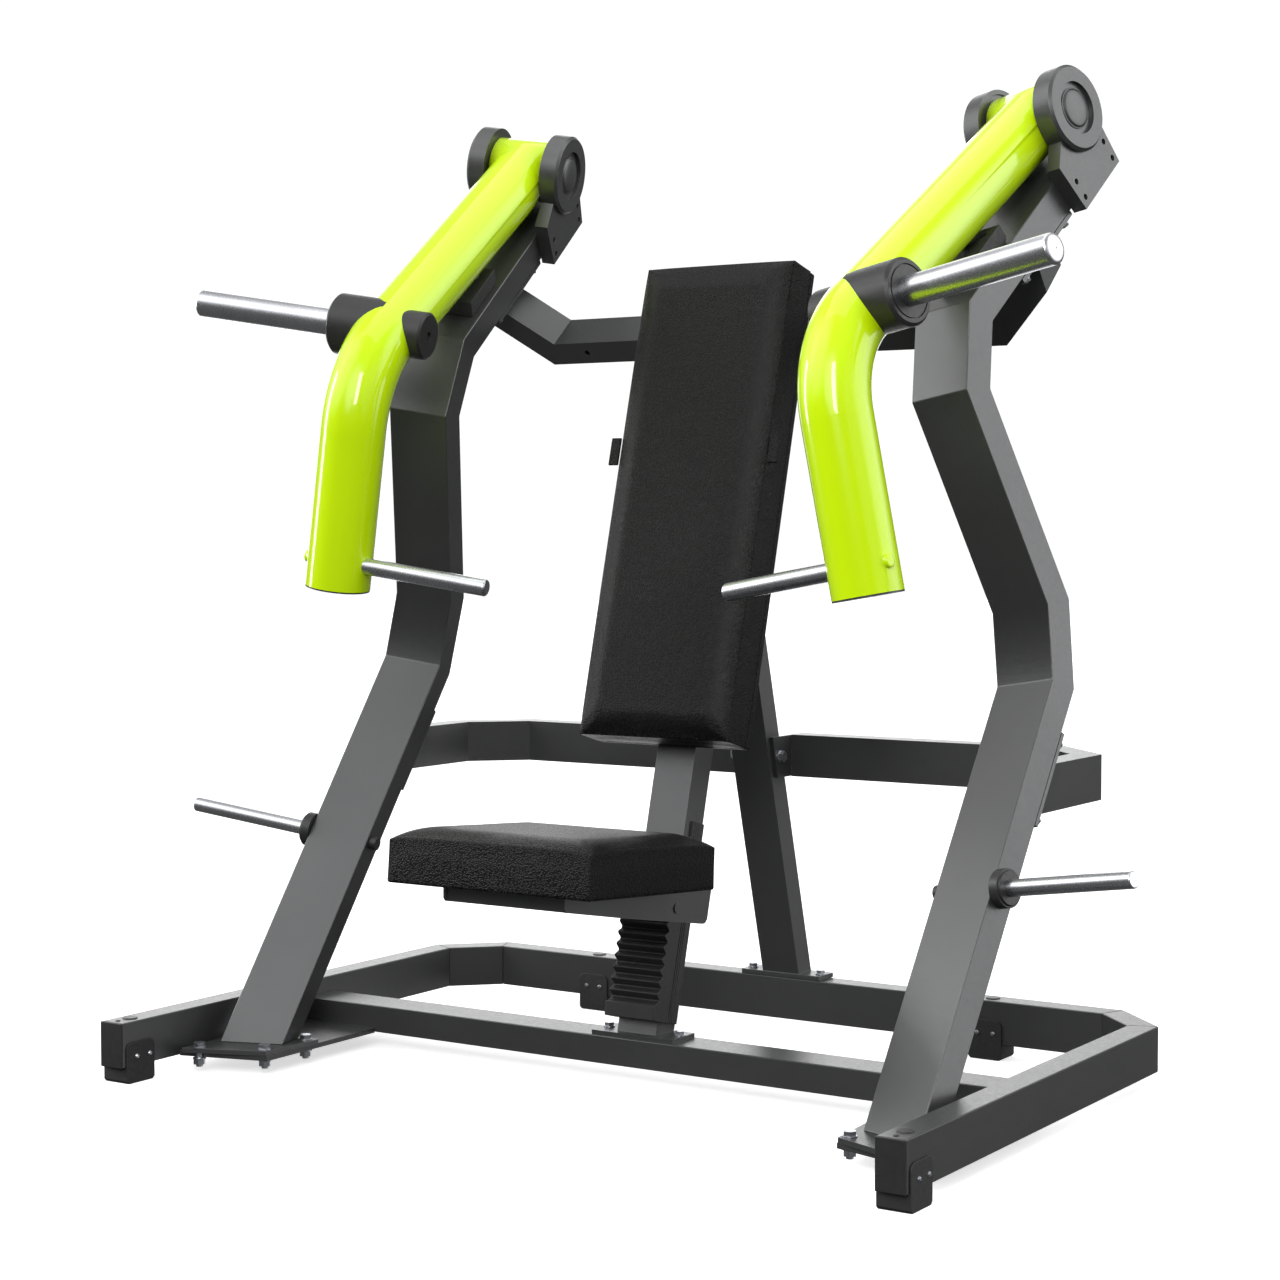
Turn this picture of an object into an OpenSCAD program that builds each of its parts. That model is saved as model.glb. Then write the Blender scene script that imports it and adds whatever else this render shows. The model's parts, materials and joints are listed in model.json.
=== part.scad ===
// Plate-loaded chest press machine with two separate converging arms.
// The user sits facing -Y. +Z is up, the origin is on the floor under the
// middle of the machine. All sizes are millimetres.

/* [Base frame] */
// Width over the two side rails
base_w = 1582; // [1500:2:1640]
// Wall thickness of the square tubes
tube_t = 4; // [2:0.5:6]
// Height of the base rails' section
rail_h = 80; // [70:1:90]
// Floor clearance under the base rails, set by the rubber feet
foot_h = 29.3; // [20:0.1:40]

/* [Side assemblies] */
// Lean of each side assembly in towards the top, degrees
side_tilt = 9.05; // [9:0.01:9.1]
// Toe-in of each side assembly in plan, degrees
side_yaw = 13.21; // [13.1:0.01:13.3]
// Distance of each arm's middle plane from the origin, along its own axis
side_n = 755.2; // [754:0.1:757]
// Width of the upright tube
upright_w = 118; // [116:1:118]

/* [Press arms] */
// Outer diameter of the arm tube
arm_d = 118; // [112:1:118]
// Radius of the arm's bend, on its centreline
arm_bend_r = 196; // [170:1:210]
// Length of the arm's lower leg below the corner of the bend
arm_leg = 398; // [380:1:440]
// Diameter of the hand grip
grip_d = 31; // [28:1:34]

/* [Weight storage] */
// Diameter of the weight horns that the plates slide on
horn_d = 50; // [48:1:51]
// Length of a weight horn from its collar's face to its tip
horn_l = 289; // [200:1:320]
// Diameter of the storage pegs
peg_d = 28; // [25:1:30]
// Length of a storage peg from its collar's face to its tip
peg_l = 238; // [180:1:260]

/* [Seat and backrest] */
// Width of the seat pad
seat_w = 406; // [380:2:420]
// Width of the backrest pad
back_w = 315; // [300:1:330]
// Lean of the seat column and the backrest, degrees
back_lean = 15.11; // [15:0.01:15.2]
// Pitch of the seat rack's teeth
tooth_pitch = 20.4; // [20:0.1:21]

/* [Hidden] */
$fn = 96;

y_off = 246;            // moves the floor centre onto the origin
paint = "#3d3e40";
lime = "#d4fb1c";
chrome = "#c9cbd0";
zinc = "#b9bdc4";
black = "#1c1c1d";
hw = base_w / 2;
rail_z0 = foot_h;
rail_z1 = foot_h + rail_h;
un0 = side_n - upright_w / 2;   // inner side face of the upright
un1 = side_n + upright_w / 2;   // outer side face of the upright
arm_r = arm_d / 2;
horn_wv = [-237, 1231.3];
peg_wv = [-132, 278];
hub_wv = [284, 1591];
grip_wv = [-313, 808];
hub_r = 59.5;
head_face = side_n + 59.8;      // inner face of the outer bearing housing
head_face_in = side_n - 60.2;   // inner face of the inner bearing housing

// Placement. Shapes mirror to the left with lr = -1.
module place() { translate([0, y_off, 0]) children(); }
module hand(lr) { if (lr > 0) children(); else mirror([1, 0, 0]) children(); }
module side(lr) { place() hand(lr) rotate([0, 0, -side_yaw]) rotate([0, -side_tilt, 0]) children(); }
// Extrudes an outline drawn in the side plane from x = a to x = b
module slab(a, b, pts) { translate([a, 0, 0]) rotate([90, 0, 90]) linear_extrude(height = b - a) polygon(pts); }
module slabc(a, b) { translate([a, 0, 0]) rotate([90, 0, 90]) linear_extrude(height = b - a) children(); }
// Cylinder along x from a to b at the point p = [y, z]
module rod(a, b, p, r) { translate([a, p[0], p[1]]) rotate([0, 90, 0]) cylinder(h = b - a, r = r); }
// Box given by two corners
// Rounded end on a bar of radius r: e along the bar, c off the radius, with
// an optional centre mark
module nose(x, p, r, e, c, dir = 1) {
    translate([x, p[0], p[1]]) rotate([0, 90 * dir, 0]) rotate_extrude()
        polygon(concat([[0, -0.5], [r - 0.02, -0.5], [r - 0.02, 0]], [for (k = [1:8]) [r - c * (1 - cos(k * 90 / 8)), e * sin(k * 90 / 8)]], [[0, e]]));
}
module box(p, q) { translate(p) cube([q[0] - p[0], q[1] - p[1], q[2] - p[2]]); }
// Hexagon bolt, head up, on the plane z = 0, with washer, shank and nut below
module hexbolt(d, grip, tail) {
    cylinder(h = 2, r = d * 1.0);
    translate([0, 0, 2]) cylinder(h = d * 0.62, r = d * 0.92, $fn = 6);
    translate([0, 0, -grip - tail]) cylinder(h = grip + tail + 1, r = d / 2);
    if (tail > 0) {
        translate([0, 0, -grip - 2]) cylinder(h = 2, r = d * 1.0);
        translate([0, 0, -grip - 2 - d * 0.8]) cylinder(h = d * 0.8, r = d * 0.92, $fn = 6);
    }
}
// Rounded rectangle centred on the origin
module rrect(w, h, r) {
    square([w - 2 * r, h], center = true);
    square([w, h - 2 * r], center = true);
    for (i = [-1, 1], j = [-1, 1]) translate([i * (w / 2 - r), j * (h / 2 - r)]) circle(r = r);
}

function unit(v) = v / norm(v);
function perp(v) = [-v[1], v[0]];
// Counter-clockwise outline p moved inwards by d
function inset(p, d) = let(n = len(p)) [for (i = [0:n - 1])
    let(a = p[(i + n - 1) % n], b = p[i], c = p[(i + 1) % n],
        nu = perp(unit(b - a)), nv = perp(unit(c - b)))
    b + d / (1 + nu * nv) * (nu + nv)];

// ---------- base frame ----------
module base_side_rail(lr) {
    color(paint) place() hand(lr) difference() {
        translate([0, 0, rail_z0]) linear_extrude(height = rail_h)
            polygon([[hw - 50, -787], [hw, -787], [hw, 177], [hw - 50, 156.3]]);
        box([hw - 50 + tube_t, -900, rail_z0 + tube_t], [hw - tube_t, 400, rail_z1 - tube_t]);
    }
}
module base_corner(lr) {
    color(paint) place() hand(lr) difference() {
        translate([0, 0, rail_z0]) linear_extrude(height = rail_h)
            polygon([[hw, 177], [hw - 108, 285], [hw - 128.7, 235], [hw - 50, 156.3]]);
        translate([hw - 54, 231, 0]) rotate([0, 0, 135])
            box([-300, tube_t, rail_z0 + tube_t], [300, 50 - tube_t, rail_z1 - tube_t]);
    }
}
module base_rear_rail() {
    color(paint) place() difference() {
        translate([0, 0, rail_z0]) linear_extrude(height = rail_h)
            polygon([[hw - 108, 285], [108 - hw, 285], [128.7 - hw, 235], [hw - 128.7, 235]]);
        box([-900, 235 + tube_t, rail_z0 + tube_t], [900, 285 - tube_t, rail_z1 - tube_t]);
    }
}
module base_cross_bar() {
    color(paint) place() difference() {
        box([50 - hw, -294, rail_z0], [hw - 50, -214, rail_z0 + 50]);
        box([-900, -294 + tube_t, rail_z0 + tube_t], [900, -214 - tube_t, rail_z0 + 50 - tube_t]);
    }
}
module rail_end_caps() {
    color(black) place() for (s = [-1, 1]) hand(s) {
        box([hw - 50, -791, rail_z0], [hw, -787, rail_z1]);
        box([hw - 50 + tube_t + 0.1, -787, rail_z0 + tube_t + 0.1], [hw - tube_t - 0.1, -762, rail_z1 - tube_t - 0.1]);
    }
}
module rail_plugs() {
    color(black) place() for (s = [-1, 1]) hand(s) {
        for (p = [[766, -743], [437, 260]]) translate([p[0], p[1], rail_z1]) cylinder(h = 2, r1 = 14, r2 = 12.5);
        translate([766, -772.7, rail_z1]) cylinder(h = 1.6, r1 = 5, r2 = 3.6);
    }
}
// Rubber foot: a block under the rail and a lug up each side of it.
// Drawn for a rail that runs along y, centred on x = 0.
module foot_shape(len) {
    for (s = [-1, 1]) translate([s > 0 ? 25.05 : -28.6, 0, 0]) slabc(0, 3.55) {
        square_lug(len);
    }
    difference() {
        box([-28.6, -len / 2, 0], [28.6, len / 2, rail_z0 - 0.05]);
        for (s = [-1, 1]) translate([0, s * len / 2, 0]) rotate([45, 0, 0]) cube([80, 7, 7], center = true);
    }
}
module square_lug(len) {
    translate([-len / 2, 5]) square([len, 55]);
    translate([-len / 2 + 14, 5]) square([len - 28, 69]);
    for (i = [-1, 1]) translate([i * (len / 2 - 14), 60]) circle(r = 14);
}
module rubber_foot_front(lr) { color(black) place() hand(lr) translate([hw - 25, -745.5, 0]) foot_shape(69); }
module rubber_foot_rear(lr) { color(black) place() hand(lr) translate([434, 260, 0]) rotate([0, 0, 90]) foot_shape(67); }
module foot_screws() {
    color(zinc) place() for (m = [-1, 1]) hand(m) {
        for (s = [-1, 1], t = [-16, 16]) {
            translate([hw - 25 + s * 28.6, -739.2 + t, 47]) rotate([0, s * 90, 0]) cylinder(h = 2.6, r1 = 4.6, r2 = 2.8);
            translate([434 + t, 260 + s * 28.6, 49]) rotate([-s * 90, 0, 0]) cylinder(h = 2.6, r1 = 4.6, r2 = 2.8);
        }
    }
}
module gusset_plate(lr) {
    color(paint) place() hand(lr) difference() {
        translate([0, 0, 28]) linear_extrude(height = 9)
            polygon([[hw - 50.2, -644], [575, -597], [575, -294.2], [hw - 50.2, -294.2]]);
        for (p = foot_bolts) translate([p[0], p[1], 20]) cylinder(h = 30, r = 6.05);
    }
}
module upright_foot(lr) {
    color(paint) place() hand(lr) difference() {
        translate([0, 0, 37]) linear_extrude(height = 9)
            polygon([[577, -598], [hw - 66, -656], [hw - 66, -430], [568, -465]]);
        for (p = foot_bolts) translate([p[0], p[1], 30]) cylinder(h = 20, r = 6.05);
    }
}
foot_bolts = [[591, -585], [700, -637], [586, -480], [703, -447]];
module base_bolts() {
    color(zinc) place() for (m = [-1, 1]) hand(m) {
        for (p = foot_bolts) translate([p[0], p[1], 46]) hexbolt(12, 18, 16);
        translate([74, -250, 87.3]) hexbolt(10, 8, 0);
        translate([75, 260, 118.7]) hexbolt(10, 9, 0);
    }
}

// ---------- uprights ----------
// Outline of the upright in the side plane, counter-clockwise from its foot
upright_pts = [[-449.4, -150], [-386.2, -150], [125.7, 586.5], [142.3, 738.5], [-2.7, 1092.6], [25.7, 1207.8],
    [398.1, 1514.8], [360, 1561], [-29.7, 1239.8], [-66.5, 1089.3], [80.4, 731], [69.5, 606.3]];
module upright(lr) {
    color(paint) difference() {
        side(lr) difference() {
            slab(un0, un1, upright_pts);
            slab(un0 + tube_t, un1 - tube_t, inset(upright_pts, tube_t));
        }
        box([-1000, -1000, -200], [1000, 1000, 46]);
    }
}
// The upper part of the upright runs at this angle; top_frame's y axis lies
// along its back face and its z axis points forward and up through the tube.
top_a = atan2(0.6361, 0.7716);
module top_frame() { translate([0, 25.7, 1207.8]) rotate([top_a, 0, 0]) children(); }

// ---------- upper cross-bar ----------
bar_a = 40.98;
bar_in = 471.5;
bar_pts = [[-492.2, 863.4], [492.2, 863.4], [600.1, 974], [600.1, 1110], [550, 1110], [550, 993.9], [bar_in, 913.4],
    [-bar_in, 913.4], [-550, 993.9], [-550, 1110], [-600.1, 1110], [-600.1, 974]];
module bar_frame() { place() rotate([bar_a, 0, 0]) children(); }
module bar_solid(t0, t1, pts) { translate([0, t1, 0]) rotate([90, 0, 0]) linear_extrude(height = t1 - t0) polygon(pts); }
module upper_cross_bar() {
    color(paint) difference() {
        bar_frame() difference() {
            bar_solid(992, 1072, bar_pts);
            bar_solid(992 + tube_t, 1072 - tube_t, inset(bar_pts, tube_t));
            for (s = [-1, 1]) translate([s * 403, 985, 888.4]) rotate([-90, 0, 0]) cylinder(h = 20, r = 6);
        }
        for (m = [-1, 1]) side(m) top_frame() box([560, -300, -8], [960, 500, 400]);
    }
}
module upper_bar_flanges() {
    color(paint) for (m = [-1, 1]) side(m) top_frame() difference() {
        box([un0, 122, -8], [un1, 330, -0.05]);
        for (x = [un0 + 12, un1 - 12], y = [142, 310]) translate([x, y, -20]) cylinder(h = 40, r = 5.05);
    }
}

// ---------- mid band ----------
mid_z0 = 505;
mid_z1 = 584.5;
// Outline of the side, corner and rear runs in plan
band_pts = [[47, 193.4], [563.9, 193.4], [652.6, 104.7], [652.6, -220], [702.6, -220], [702.6, 125.4], [584.6, 243.4], [47, 243.4]];
module mid_band(lr) {
    color(paint) {
        difference() {
            place() hand(lr) difference() {
                translate([0, 0, mid_z0]) linear_extrude(height = mid_z1 - mid_z0) polygon(band_pts);
                translate([0, 0, mid_z0 + tube_t]) linear_extrude(height = mid_z1 - mid_z0 - 2 * tube_t) polygon(inset(band_pts, tube_t));
            }
            side(lr) mid_frame() box([400, -600, -7], [1000, 900, 600]);
        }
        side(lr) mid_frame() difference() {
            box([un0, 0, -7], [un1, 178, 0]);
            for (x = [un0 + 13, un1 - 13], y = [16, 162]) translate([x, y, -20]) cylinder(h = 40, r = 5.05);
        }
        place() hand(lr) difference() {
            slab(40, 47, [[142.6, 506], [245, 506], [245, 584], [122.5, 584]]);
            rod(30, 60, [150, 546], 6.05);
        }
    }
}
// y runs down the back face of the upright's lower part, z forward through it
mid_a = atan2(634, 440.7);
module mid_frame() { translate([0, -24, 371]) rotate([mid_a, 0, 0]) children(); }
module frame_bolts() {
    color(zinc) {
        for (m = [-1, 1]) {
            side(m) top_frame() for (x = [un0 + 12, un1 - 12], y = [142, 310])
                translate([x, y, -8]) rotate([180, 0, 0]) hexbolt(10, 8, 0);
            side(m) mid_frame() for (x = [un0 + 13, un1 - 13], y = [16, 162])
                translate([x, y, -7]) rotate([180, 0, 0]) hexbolt(10, 7, 0);
            place() hand(m) translate([47, 150, 546]) rotate([0, 90, 0]) hexbolt(12, 7, 0);
        }
    }
}

// ---------- rear post and seat column ----------
module col_frame() { place() translate([0, -276, 87.3]) rotate([-back_lean, 0, 0]) children(); }
post_a = 15.3;
module post_frame() { place() translate([0, 236, 118.7]) rotate([post_a, 0, 0]) children(); }
module rear_post() {
    color(paint) {
        difference() {
            post_frame() difference() {
                box([-40, 0, -60], [40, 48, 1100]);
                box([-40 + tube_t, tube_t, -61], [40 - tube_t, 48 - tube_t, 1101]);
            }
            box([-200, 200, -50], [200, 900, 118.7]);
            col_frame() box([-100, -900, -100], [100, 60, 1900]);
        }
        base_plate(86, 234, 290, 109.7, 118.7, 75, 260);
    }
}
module base_plate(hx, y0, y1, z0, z1, bx, by) {
    place() difference() {
        box([-hx, y0, z0], [hx, y1, z1]);
        for (s = [-1, 1]) translate([s * bx, by, z0 - 5]) cylinder(h = 30, r = 5.05);
    }
}
col_top = 1320;
module seat_column() {
    color(paint) {
        difference() {
            col_frame() difference() {
                box([-40, 0, -60], [40, 60, col_top]);
                box([-40 + tube_t, tube_t, -61], [40 - tube_t, 60 - tube_t, col_top - tube_t]);
            }
            box([-200, -500, -100], [200, 300, 87.3]);
        }
        base_plate(85, -290, -218, 79.3, 87.3, 74, -250);
    }
}
// Cheeks that tie the head of the column to the upper cross-bar
module column_gussets() {
    color(paint) difference() {
        place() for (s = [-1, 1]) hand(s) slab(32, 40, [[100, 1262], [160, 1302], [195, 1330], [205, 1345], [170, 1390], [115, 1378]]);
        bar_frame() box([-100, 992, 863.4], [100, 1072, 913.4]);
        col_frame() box([-100, -900, -100], [100, 60, 1900]);
    }
}

// ---------- seat rack ----------
rack_z0 = 24;
rack_teeth = 14;
// Side profile of the rack in the column's frame: x is outwards from the
// column's face (negative), y is up along it. Each tooth is a soft wave.
function wave(i, k) = let(a = 360 * k / 8) [-24 - 5.5 * cos(a), rack_z0 + 26 + (i + k / 8) * tooth_pitch];
rack_pts = concat([[0, rack_z0], [-34, rack_z0], [-37, rack_z0 + 26]],
    [for (i = [0:rack_teeth - 1], k = [0:7]) wave(i, k)],
    [[-18, rack_z0 + 26 + rack_teeth * tooth_pitch], [0, rack_z0 + 26 + rack_teeth * tooth_pitch]]);
module seat_rack() {
    color(black) col_frame() {
        slab(-50, 50, rack_pts);
        for (s = [-1, 1]) hand(s) box([40.1, 0, rack_z0], [50, 18, rack_z0 + 26 + rack_teeth * tooth_pitch]);
    }
}
module rack_side_strips() {
    color(black) col_frame() for (s = [-1, 1]) hand(s) {
        difference() {
            box([40.1, 20, 26], [46, 42, 385]);
            for (y = [24.5, 30.5, 36.5]) box([44.5, y, 0], [50, y + 2, 400]);
        }
        box([40.1, 43, 26], [44, 59, 385]);
    }
}

// ---------- backrest ----------
// Its frame lies in the pad's front face: y up the lean, z out of the front
module back_frame() { place() translate([0, -231.6, 606.6]) rotate([90 - back_lean, 0, 0]) children(); }
back_l = 884.5;
module backrest_pad() {
    color(black) back_frame() hull() {
        translate([0, back_l / 2, -71]) linear_extrude(height = 69) rrect(back_w, back_l, 4, $fn = 24);
        translate([0, back_l / 2, 6]) linear_extrude(height = 1) rrect(back_w - 36, back_l - 36, 10, $fn = 24);
        translate([0, back_l / 2, 9]) linear_extrude(height = 1) rrect(back_w - 84, back_l - 84, 20, $fn = 24);
    }
}
module backrest_board() {
    color(black) back_frame() translate([0, back_l / 2, -86]) linear_extrude(height = 14.6) rrect(back_w - 1, back_l - 1, 4);
}
module backrest_brackets() {
    color(paint) difference() {
        back_frame() for (y = [150, 640], s = [-1, 1]) hand(s) box([34, y, -135], [62, y + 60, -86.2]);
        col_frame() box([-40.3, -0.3, -100], [40.3, 60.3, 1900]);
    }
}
module backrest_tabs() {
    color(black) back_frame() for (s = [-1, 1]) hand(s) box([back_w / 2 + 0.3, 504, -8], [back_w / 2 + 21, 556, -3]);
}

// ---------- seat ----------
module seat_frame() { place() translate([0, -721, 392]) rotate([-4.06, 0, 0]) children(); }
seat_l = 376;
module seat_pad() {
    color(black) seat_frame() hull() {
        translate([0, seat_l / 2, 0]) linear_extrude(height = 80) rrect(seat_w, seat_l, 5, $fn = 24);
        translate([0, seat_l / 2, 86]) linear_extrude(height = 1) rrect(seat_w - 36, seat_l - 36, 14, $fn = 24);
        translate([0, seat_l / 2, 91]) linear_extrude(height = 1) rrect(seat_w - 100, seat_l - 100, 30, $fn = 24);
    }
}
module seat_board() {
    color(black) seat_frame() translate([0, 212, -12.2]) linear_extrude(height = 12) rrect(220, 290, 8);
}
// Pressed-steel seat carrier: two cheeks, a front wall, a cross wall and
// two guide plates that straddle the column
cheek_pts = [[-668, 361.5], [-494, 329.5], [-251, 288.3], [-243, 288.6], [-236, 295], [-219.5, 356], [-219.5, 370],
    [-673, 400], [-673, 367]];
guide_pts = [[-295, 303], [-250, 298], [-215, 301], [-112, 338], [-112, 366], [-140, 371], [-295, 358]];
roller_yz = [-129, 352];
latch_yz = [-251.2, 312];
module seat_carriage() {
    color(paint) place() difference() {
        union() {
            for (s = [-1, 1]) hand(s) {
                slab(116, 122, cheek_pts);
                slab(52, 58, guide_pts);
            }
            box([-116, -670, 362], [116, -665, 400]);
            box([-116, -300, 301], [116, -295, 400]);
        }
        translate([0, -721, 392]) rotate([-4.06, 0, 0]) box([-300, -100, -0.2], [300, 600, 200]);
        rod(-130, 130, [-338, 327], 6.05);
        rod(-130, 130, roller_yz, 6.05);
    }
}
// Fixed bar that rests on the rack's teeth, lifted clear when the seat tips up
module latch_bar() { color(zinc) place() rod(-51.95, 51.95, latch_yz, 4.5); }
module guide_roller() {
    color(black) place() {
        rod(-38, 38, roller_yz, 12);
        rod(-60, 60, roller_yz, 6);
    }
}
module carriage_bolts() {
    color(zinc) place() {
        rod(-122, 122, [-338, 327], 6);
        for (s = [-1, 1]) hand(s) rod(122.05, 124.6, [-338, 327], 8.5);
    }
}

// ---------- storage pegs ----------
peg_face = 835;
module storage_peg(lr) {
    color(chrome) side(lr) {
        rod(un1 + 0.1, peg_face + 1, peg_wv, peg_d / 2 - 0.6);
        rod(peg_face + 0.1, peg_face + peg_l - 3, peg_wv, peg_d / 2);
        nose(peg_face + peg_l - 3, peg_wv, peg_d / 2, 3, 3);
    }
}
module peg_collars() {
    color(black) for (m = [-1, 1]) side(m) {
        difference() {
            union() {
                rod(un1 + 0.1, peg_face - 4, peg_wv, 32);
                rod(peg_face - 4, peg_face, peg_wv, 28);
            }
            rod(un1 - 1, peg_face + 1, peg_wv, peg_d / 2 - 0.55);
        }
        rod(un0 - 14, un0 - 0.1, peg_wv, 13);
    }
}

// ---------- pivot heads ----------
bracket_pts = [[241, 1533], [225, 1480], [290, 1414], [406, 1511], [372, 1560], [345, 1600], [284, 1591]];
bracket_holes = [[365, 1542], [386, 1515], [270, 1461], [291, 1436]];
module head_bracket_outer(lr) {
    color(paint) side(lr) difference() {
        union() {
            slab(un1 + 0.05, 842, bracket_pts);
            rod(head_face, 848, hub_wv, 76.5);
            translate([848, hub_wv[0], hub_wv[1]]) rotate([0, 90, 0]) cylinder(h = 5, r1 = 76.5, r2 = 71.5);
        }
        for (p = bracket_holes) rod(un1 - 1, 850, p, 5.5);
        rod(un1 - 1, head_face, hub_wv, 200);
        rod(846, 860, hub_wv, 46.5);
        rod(800, 860, hub_wv, 20);
    }
}
module head_bracket_inner(lr) {
    color(paint) side(lr) difference() {
        union() {
            slab(668.5, un0 - 0.05, bracket_pts);
            rod(662, head_face_in, hub_wv, 76.5);
            translate([657, hub_wv[0], hub_wv[1]]) rotate([0, 90, 0]) cylinder(h = 5, r1 = 71.5, r2 = 76.5);
        }
        for (p = bracket_holes) rod(660, un0 + 1, p, 5.5);
        rod(head_face_in, un0 + 2, hub_wv, 200);
        rod(650, 664, hub_wv, 46.5);
        rod(head_face_in - 3, head_face_in + 1, hub_wv, 68);
        rod(650, 720, hub_wv, 20);
    }
}
// Domed cap sitting in the housing's bore, its rim sunk into a wide groove
module cap(x, dir) {
    translate([x, hub_wv[0], hub_wv[1]]) rotate([0, 90 * dir, 0]) rotate_extrude()
        polygon(concat([[0, 0], [36.5, 0], [36.5, 1.5], [34.5, 1.8], [32.4, 3.4]], [for (k = [1:6]) [32.4 * cos(k * 13), 3.4 + 4.2 * sin(k * 13) / sin(78)]], [[0, 7.7]]));
}
module head_caps() {
    color(paint) for (m = [-1, 1]) side(m) {
        cap(846, 1);
        cap(664, -1);
    }
}
module pivot_shaft(lr) { color(zinc) side(lr) rod(664.1, 845.9, hub_wv, 19.95); }

// ---------- arm stops ----------
module stop_block(lr) {
    color(black) side(lr) top_frame() {
        difference() {
            slab(709, 801, [[42, 60.1], [150, 60.1], [160.7, 66], [160.7, 91.4], [46, 91.4]]);
            translate([778, 136, 80]) cylinder(h = 20, r = 6.5);
        }
        translate([748, 128, 91.4]) cylinder(h = 3.2, r = 18);
    }
}

// ---------- press arms ----------
// Centreline in the side plane: hub, corner of the bend, foot of the leg
arm_v = [-335.5, 1158];
leg_dir = unit([24.5, -284]);
arm_e = arm_v + leg_dir * arm_leg;
u1 = unit(hub_wv - arm_v);
u2 = leg_dir;
turn = 180 - acos(u1 * u2);
t_len = arm_bend_r * tan(turn / 2);
arm_t1 = arm_v + u1 * t_len;
arm_t2 = arm_v + u2 * t_len;
arm_c = arm_v + unit(u1 + u2) * arm_bend_r / cos(turn / 2);
a_start = atan2(arm_t1[1] - arm_c[1], arm_t1[0] - arm_c[0]);
// Cylinder in the side plane from p along the unit vector u. The straight
// legs reach 1 mm into the bend, which is 0.05 mm slimmer.
module leg(p, u, l, r) { translate([side_n, p[0], p[1]]) rotate([-atan2(u[0], u[1]), 0, 0]) cylinder(h = l, r = r); }
module bend(r) {
    translate([side_n, arm_c[0], arm_c[1]]) rotate([90, 0, 90]) rotate([0, 0, a_start])
        rotate_extrude(angle = turn) translate([arm_bend_r, 0]) circle(r = r - 0.05);
}
module arm_tube(r, top, foot) {
    leg(arm_t1 - u1, u1, norm(hub_wv - arm_t1) + 1 - top, r);
    bend(r);
    leg(arm_t2 - u2, u2, arm_leg - t_len + 1 + foot, r);
}
// What the collar, puck and horn are cut to, so that they seat in the wall
module seat_cut() {
    leg(arm_t1 - u1 * 2, u1, 220, arm_r - 1);
    translate([side_n, arm_c[0], arm_c[1]]) rotate([90, 0, 90]) rotate([0, 0, a_start])
        rotate_extrude(angle = turn) translate([arm_bend_r, 0]) circle(r = arm_r - 2);
}
module arm(lr) {
    color(lime) side(lr) difference() {
        union() {
            arm_tube(arm_r, 0, 0);
            rod(side_n - 56, side_n + 56, hub_wv, hub_r);
            rod(side_n + arm_r - 8, 817, grip_wv, 11);
            nose(817, grip_wv, 11, 3, 4);
        }
        arm_tube(arm_r - tube_t, 66, 10);
        rod(side_n - 80, side_n + 80, hub_wv, 30);
    }
}
// Bearings, end ring, horn collar and inner puck
module arm_fittings(lr) {
    color(black) side(lr) {
        for (s = [-1, 1]) rod_ring(side_n + s * 43, 24, hub_wv, 29.95, 20);
        leg(arm_e, u2, 3, arm_r - 0.6);
        leg(arm_e - u2 * 20, u2, 20, arm_r - tube_t - 0.1);
        difference() {
            union() {
                rod(side_n, 853, horn_wv, 56);
                translate([853, horn_wv[0], horn_wv[1]]) rotate([0, 90, 0]) cylinder(h = 5, r1 = 56, r2 = 51);
            }
            seat_cut();
            rod(side_n, 870, horn_wv, horn_d / 2 - 0.55);
            difference() { rod(855.5, 870, horn_wv, 45); rod(850, 880, horn_wv, 42.5); }
        }
        difference() {
            union() {
                rod(679, side_n, horn_wv, 43);
                translate([675, horn_wv[0], horn_wv[1]]) rotate([0, 90, 0]) cylinder(h = 4, r1 = 39, r2 = 43);
            }
            seat_cut();
            rod(670, 679, horn_wv, 8);
        }
    }
}
module rod_ring(n, l, p, ro, ri) { difference() { rod(n - l / 2, n + l / 2, p, ro); rod(n - l, n + l, p, ri); } }
module weight_horn(lr) {
    color(chrome) side(lr) difference() {
        union() {
            rod(side_n, 859, horn_wv, horn_d / 2 - 0.6);
            rod(858.1, 858 + horn_l - 7, horn_wv, horn_d / 2);
            nose(858 + horn_l - 7, horn_wv, horn_d / 2, 7, 13);
        }
        seat_cut();
        rod(858 + horn_l - 2, 900 + horn_l, horn_wv, 2);
        difference() {
            rod(858 + horn_l - 0.8, 900 + horn_l, horn_wv, 6.5);
            rod(858 + horn_l - 4, 901 + horn_l, horn_wv, 5.5);
        }
    }
}
module hand_grip(lr) {
    color(chrome) side(lr) difference() {
        union() {
            rod(464, side_n, grip_wv, grip_d / 2);
            nose(464, grip_wv, grip_d / 2, 4, 5, -1);
        }
        leg(arm_t2, u2, 600, arm_r + 0.05);
    }
}

base_side_rail(-1);  // base_side_rail_left
base_side_rail(1);  // base_side_rail_right
base_corner(-1);  // base_corner_left
base_corner(1);  // base_corner_right
base_rear_rail();
base_cross_bar();
rail_end_caps();
rail_plugs();
rubber_foot_front(-1);  // rubber_foot_front_left
rubber_foot_front(1);  // rubber_foot_front_right
rubber_foot_rear(-1);  // rubber_foot_rear_left
rubber_foot_rear(1);  // rubber_foot_rear_right
foot_screws();
gusset_plate(-1);  // gusset_plate_left
gusset_plate(1);  // gusset_plate_right
upright_foot(-1);  // upright_foot_left
upright_foot(1);  // upright_foot_right
upright(-1);  // upright_left
upright(1);  // upright_right
base_bolts();
upper_cross_bar();
upper_bar_flanges();
mid_band(-1);  // mid_band_left
mid_band(1);  // mid_band_right
frame_bolts();
rear_post();
seat_column();
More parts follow.
